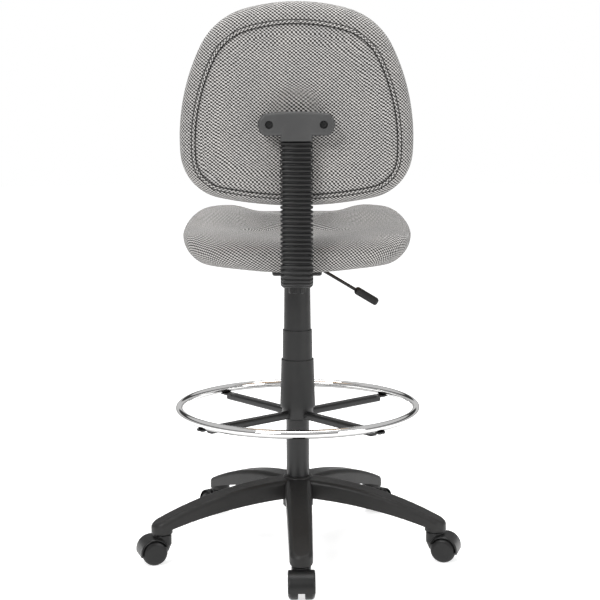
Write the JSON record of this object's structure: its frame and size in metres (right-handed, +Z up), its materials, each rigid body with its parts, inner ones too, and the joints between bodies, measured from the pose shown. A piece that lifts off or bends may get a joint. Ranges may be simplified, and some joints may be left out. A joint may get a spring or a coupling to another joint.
{
  "type": "drafting chair",
  "caption": "Armless drafting chair: five-star base on twin-wheel casters, gas lift with telescoping cover, chrome foot ring, tweed seat, backrest on a bar in a bellows boot.",
  "frame": {"origin": "on the floor, on the axis of the column", "axes": "+Z up; the sitter faces -Y, so the backrest is at +Y; -X is the sitter's right, where the lever is"},
  "size_m": [0.6938, 0.6646, 1.161],
  "materials": {
    "base_plastic": "moulded nylon, fine satin grain",
    "hub_steel": "plain steel",
    "caster_plastic": "moulded nylon, satin",
    "wheel_plastic": "moulded nylon, satin",
    "bright_steel": "turned steel",
    "column_paint": "black powder coat",
    "guide_plastic": "plain plastic bush",
    "sleeve_plastic": "moulded plastic, fine texture",
    "ring_chrome": "bright chrome plate",
    "spoke_paint": "black powder coat",
    "screw_black": "blackened steel",
    "mechanism_paint": "black paint",
    "handle_plastic": "moulded plastic",
    "plywood": "birch plywood",
    "seat_fabric": "woven tweed, pale and dark grey yarns",
    "back_fabric": "woven tweed, pale and dark grey yarns",
    "boot_plastic": "ribbed soft plastic",
    "bracket_plastic": "moulded plastic, fine texture"
  },
  "bodies": {
    "base": {"star_base": "base_plastic", "hub_insert": "hub_steel", "caster_sockets": "hub_steel", "outer_column": "column_paint", "column_guide": "guide_plastic", "sleeve_lower": "sleeve_plastic", "footring": "ring_chrome", "footring_collar": "spoke_paint", "collar_set_screws": "spoke_paint", "footring_screws": "screw_black", "footring_spoke_1": "spoke_paint", "footring_spoke_2": "spoke_paint", "footring_spoke_3": "spoke_paint", "footring_spoke_4": "spoke_paint"},
    "middle_cover": {"sleeve_middle": "sleeve_plastic"},
    "gas_rod": {"piston_rod": "bright_steel", "thrust_bearing": "bright_steel", "column_clip": "bright_steel"},
    "seat_frame": {"gas_cylinder": "column_paint", "sleeve_upper": "sleeve_plastic", "seat_mechanism": "mechanism_paint", "seat_bolts": "bright_steel", "seat_board": "plywood", "seat_cushion": "seat_fabric"},
    "lever": {"lever_rod": "mechanism_paint", "lever_handle": "handle_plastic"},
    "pin": {"release_pin": "bright_steel"},
    "knob": {"depth_knob": "handle_plastic"},
    "back_arm": {"back_bar": "mechanism_paint", "bellows_boot": "boot_plastic"},
    "backrest": {"back_board": "plywood", "back_cushion": "back_fabric", "back_rear_panel": "back_fabric", "back_bracket": "bracket_plastic", "back_screws": "screw_black"},
    "caster_1": {"caster_hood_1": "caster_plastic", "caster_stem_1": "bright_steel", "caster_axle_1": "bright_steel"},
    "wheel_left_1": {"caster_wheel_left_1": "wheel_plastic"},
    "wheel_right_1": {"caster_wheel_right_1": "wheel_plastic"},
    "caster_2": {"caster_hood_2": "caster_plastic", "caster_stem_2": "bright_steel", "caster_axle_2": "bright_steel"},
    "wheel_left_2": {"caster_wheel_left_2": "wheel_plastic"},
    "wheel_right_2": {"caster_wheel_right_2": "wheel_plastic"},
    "caster_3": {"caster_hood_3": "caster_plastic", "caster_stem_3": "bright_steel", "caster_axle_3": "bright_steel"},
    "wheel_left_3": {"caster_wheel_left_3": "wheel_plastic"},
    "wheel_right_3": {"caster_wheel_right_3": "wheel_plastic"},
    "caster_4": {"caster_hood_4": "caster_plastic", "caster_stem_4": "bright_steel", "caster_axle_4": "bright_steel"},
    "wheel_left_4": {"caster_wheel_left_4": "wheel_plastic"},
    "wheel_right_4": {"caster_wheel_right_4": "wheel_plastic"},
    "caster_5": {"caster_hood_5": "caster_plastic", "caster_stem_5": "bright_steel", "caster_axle_5": "bright_steel"},
    "wheel_left_5": {"caster_wheel_left_5": "wheel_plastic"},
    "wheel_right_5": {"caster_wheel_right_5": "wheel_plastic"}
  },
  "joints": [
    {"name": "seat_swivel", "type": "hinge", "parent": "base", "child": "gas_rod", "pos_m": [0, 0, 0.094], "axis": [0, 0, 1], "continuous": true},
    {"name": "seat_lift", "type": "slide", "parent": "gas_rod", "child": "seat_frame", "axis": [0, 0, 1], "range_m": [-0.07, 0.057]},
    {"name": "cover_slide", "type": "slide", "parent": "base", "child": "middle_cover", "axis": [0, 0, 1], "range_m": [-0.035, 0.0285]},
    {"name": "lever_lift", "type": "hinge", "parent": "seat_frame", "child": "lever", "pos_m": [-0.035, 0, 0.6245], "axis": [0, 1, 0], "range_deg": [0, 10], "stiffness_Nm_per_rad": 1, "springref_deg": -5.73},
    {"name": "pin_press", "type": "slide", "parent": "seat_frame", "child": "pin", "axis": [0, 0, 1], "range_m": [-0.0065, 0]},
    {"name": "back_depth", "type": "slide", "parent": "seat_frame", "child": "back_arm", "axis": [0, 1, 0], "range_m": [-0.025, 0.025]},
    {"name": "knob_turn", "type": "hinge", "parent": "seat_frame", "child": "knob", "pos_m": [0, 0.11, 0.584], "axis": [0, 0, 1], "range_deg": [0, 360]},
    {"name": "back_height", "type": "slide", "parent": "back_arm", "child": "backrest", "axis": [0, 0, 1], "range_m": [0, 0.035], "deforming": ["bellows_boot"]},
    {"name": "caster_swivel_1", "type": "hinge", "parent": "base", "child": "caster_1", "pos_m": [-0.00639, 0.30493, 0.07], "axis": [0, 0, 1], "continuous": true},
    {"name": "wheel_spin_left_1", "type": "hinge", "parent": "caster_1", "child": "wheel_left_1", "pos_m": [-0.00683, 0.32593, 0.027], "axis": [-0.9998, -0.0209, 0], "continuous": true},
    {"name": "wheel_spin_right_1", "type": "hinge", "parent": "caster_1", "child": "wheel_right_1", "pos_m": [-0.00683, 0.32593, 0.027], "axis": [-0.9998, -0.0209, 0], "continuous": true},
    {"name": "caster_swivel_2", "type": "hinge", "parent": "base", "child": "caster_2", "pos_m": [-0.29198, 0.08815, 0.07], "axis": [0, 0, 1], "continuous": true},
    {"name": "wheel_spin_left_2", "type": "hinge", "parent": "caster_2", "child": "wheel_left_2", "pos_m": [-0.31209, 0.09422, 0.027], "axis": [-0.289, -0.9573, 0], "continuous": true},
    {"name": "wheel_spin_right_2", "type": "hinge", "parent": "caster_2", "child": "wheel_right_2", "pos_m": [-0.31209, 0.09422, 0.027], "axis": [-0.289, -0.9573, 0], "continuous": true},
    {"name": "caster_swivel_3", "type": "hinge", "parent": "base", "child": "caster_3", "pos_m": [-0.17407, -0.25045, 0.07], "axis": [0, 0, 1], "continuous": true},
    {"name": "wheel_spin_left_3", "type": "hinge", "parent": "caster_3", "child": "wheel_left_3", "pos_m": [-0.18605, -0.2677, 0.027], "axis": [0.8211, -0.5707, 0], "continuous": true},
    {"name": "wheel_spin_right_3", "type": "hinge", "parent": "caster_3", "child": "wheel_right_3", "pos_m": [-0.18605, -0.2677, 0.027], "axis": [0.8211, -0.5707, 0], "continuous": true},
    {"name": "caster_swivel_4", "type": "hinge", "parent": "base", "child": "caster_4", "pos_m": [0.1844, -0.24294, 0.07], "axis": [0, 0, 1], "continuous": true},
    {"name": "wheel_spin_left_4", "type": "hinge", "parent": "caster_4", "child": "wheel_left_4", "pos_m": [0.1971, -0.25967, 0.027], "axis": [0.7965, 0.6046, 0], "continuous": true},
    {"name": "wheel_spin_right_4", "type": "hinge", "parent": "caster_4", "child": "wheel_right_4", "pos_m": [0.1971, -0.25967, 0.027], "axis": [0.7965, 0.6046, 0], "continuous": true},
    {"name": "caster_swivel_5", "type": "hinge", "parent": "base", "child": "caster_5", "pos_m": [0.28803, 0.1003, 0.07], "axis": [0, 0, 1], "continuous": true},
    {"name": "wheel_spin_left_5", "type": "hinge", "parent": "caster_5", "child": "wheel_left_5", "pos_m": [0.30787, 0.10721, 0.027], "axis": [-0.3289, 0.9444, 0], "continuous": true},
    {"name": "wheel_spin_right_5", "type": "hinge", "parent": "caster_5", "child": "wheel_right_5", "pos_m": [0.30787, 0.10721, 0.027], "axis": [-0.3289, 0.9444, 0], "continuous": true}
  ],
  "couplings": [
    {"joint": "cover_slide", "follows": "seat_lift", "ratio": 0.5},
    {"joint": "pin_press", "follows": "lever_lift", "m_per_rad": -0.035}
  ]
}
